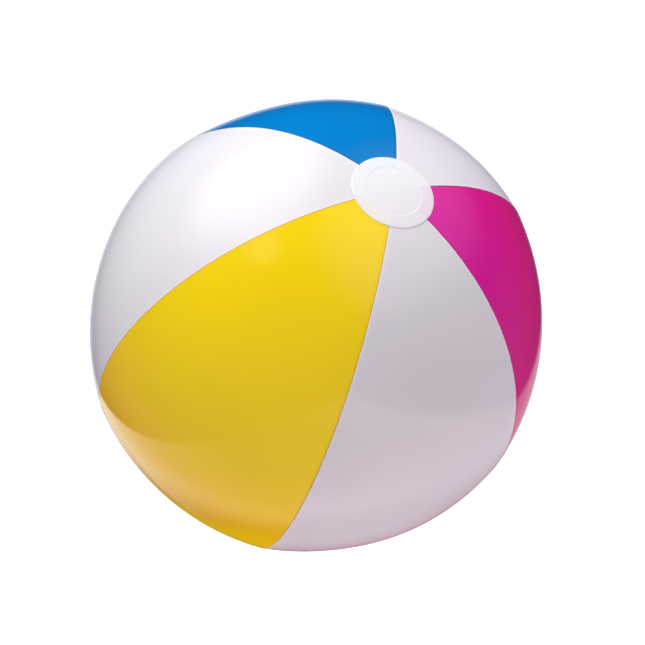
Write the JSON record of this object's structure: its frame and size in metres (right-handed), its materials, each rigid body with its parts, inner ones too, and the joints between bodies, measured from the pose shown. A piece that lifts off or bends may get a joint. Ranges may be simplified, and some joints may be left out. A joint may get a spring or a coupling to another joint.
{
  "type": "inflatable beach ball",
  "caption": "Inflatable beach ball of coloured and white film panels with end discs and a push-in mouth valve with plug and check flap.",
  "frame": {"origin": "centre of the inflated ball", "axes": "+Z along the polar axis from the valve to the blank end disc; +X through the middle of the yellow panel; the plug's finger tab points to +X"},
  "size_m": [0.394, 0.3994, 0.4062],
  "materials": {
    "yellow_film": "glossy flexible film",
    "magenta_film": "glossy flexible film",
    "blue_film": "glossy flexible film",
    "white_film": "glossy flexible film",
    "clear_film": "glossy milky translucent film",
    "soft_valve": "soft translucent moulding"
  },
  "bodies": {
    "ball": {"panel_yellow": "yellow_film", "panel_white_lower": "white_film", "panel_magenta": "magenta_film", "panel_white_right": "white_film", "panel_blue": "blue_film", "panel_white_left": "white_film", "top_end_disc": "clear_film", "valve_end_disc": "clear_film", "valve_flange": "soft_valve", "valve_membrane": "soft_valve"},
    "stem": {"valve_stem": "soft_valve", "plug_tether": "soft_valve"},
    "plug": {"valve_plug": "soft_valve"},
    "flap": {"check_flap": "soft_valve"}
  },
  "joints": [
    {"name": "stem_slide", "type": "slide", "parent": "ball", "child": "stem", "axis": [0, 0, -1], "range_m": [0, 0.016], "deforming": ["valve_membrane"]},
    {"name": "plug_swing", "type": "hinge", "parent": "stem", "child": "plug", "pos_m": [-0.0074, 0, -0.20065], "axis": [0, 1, 0], "range_deg": [0, 120], "deforming": ["plug_tether"]},
    {"name": "flap_lift", "type": "hinge", "parent": "stem", "child": "flap", "pos_m": [-0.005, 0, -0.18465], "axis": [0, -1, 0], "range_deg": [0, 60]}
  ]
}
